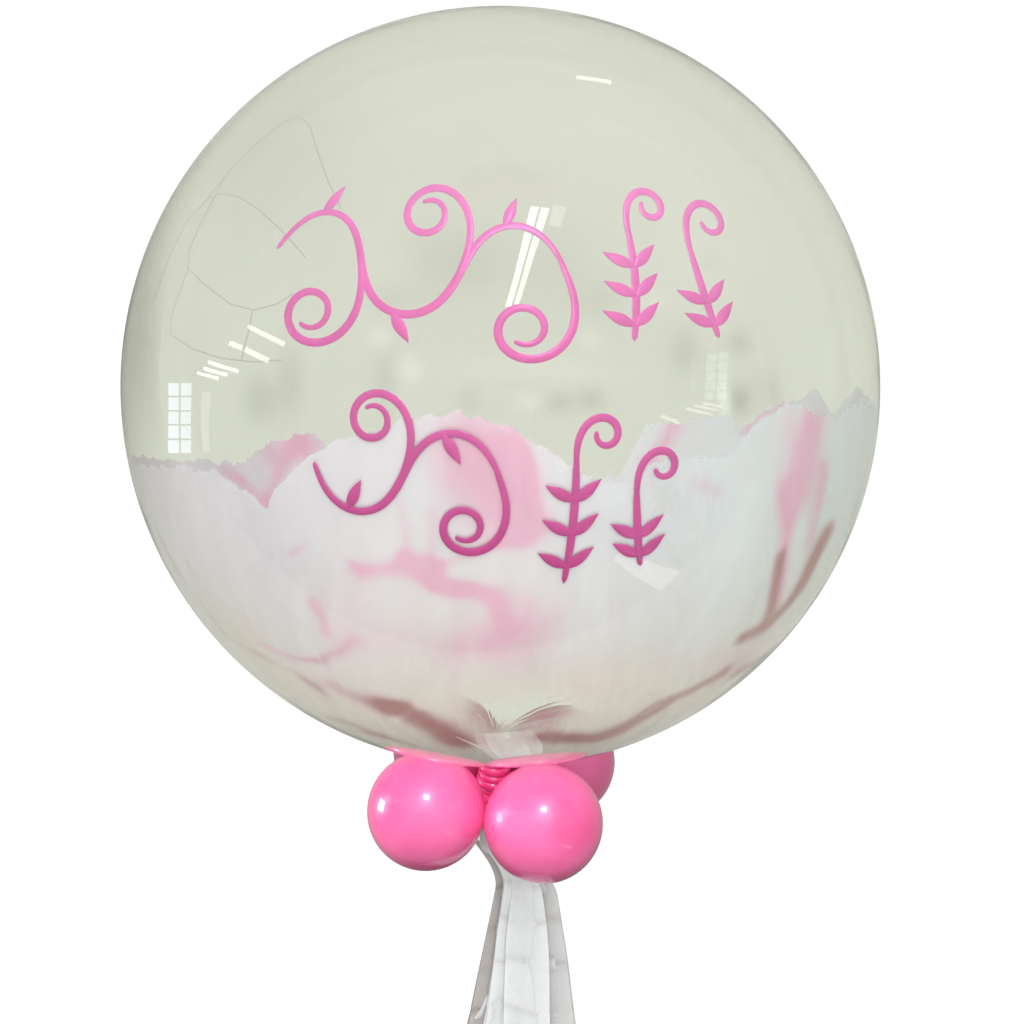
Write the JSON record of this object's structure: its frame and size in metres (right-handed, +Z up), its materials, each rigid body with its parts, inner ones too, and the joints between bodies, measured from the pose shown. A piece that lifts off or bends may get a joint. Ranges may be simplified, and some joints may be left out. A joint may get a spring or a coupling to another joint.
{
  "type": "bubble balloon",
  "caption": "Clear round film balloon with marbled paint inside its lower half, scroll decoration, a collar of small latex balloons at the neck and a tissue tassel, lying down.",
  "frame": {"origin": "middle of the film's flat spot, on the surface that the balloon lies on", "axes": "+Z up; +Y along the lying balloon, from the tassel to the bubble; +X to the right when looking along +Y"},
  "size_m": [0.5596, 0.9242, 0.558],
  "materials": {
    "clear_film": "stretched clear TPU film, smooth and glossy, see-through",
    "marbled_paint": "white and pink acrylic paint swirled inside the film",
    "pink_latex": "blown latex, smooth with a soft gloss",
    "white_tissue": "thin white tissue paper, creased and matt",
    "pink_vinyl": "cut adhesive vinyl with a soft metallic gloss, lighter above"
  },
  "bodies": {
    "root": {"clear_bubble": "clear_film", "collar_balloon_front_left": "pink_latex", "collar_balloon_front_right": "pink_latex", "collar_balloon_back_left": "pink_latex", "collar_balloon_back_right": "pink_latex", "tissue_tassel": "white_tissue", "upper_scroll_long": "pink_vinyl", "upper_scroll_sprig": "pink_vinyl", "upper_scroll_curl": "pink_vinyl", "lower_scroll_long": "pink_vinyl", "lower_scroll_sprig": "pink_vinyl", "lower_scroll_curl": "pink_vinyl"}
  },
  "joints": []
}
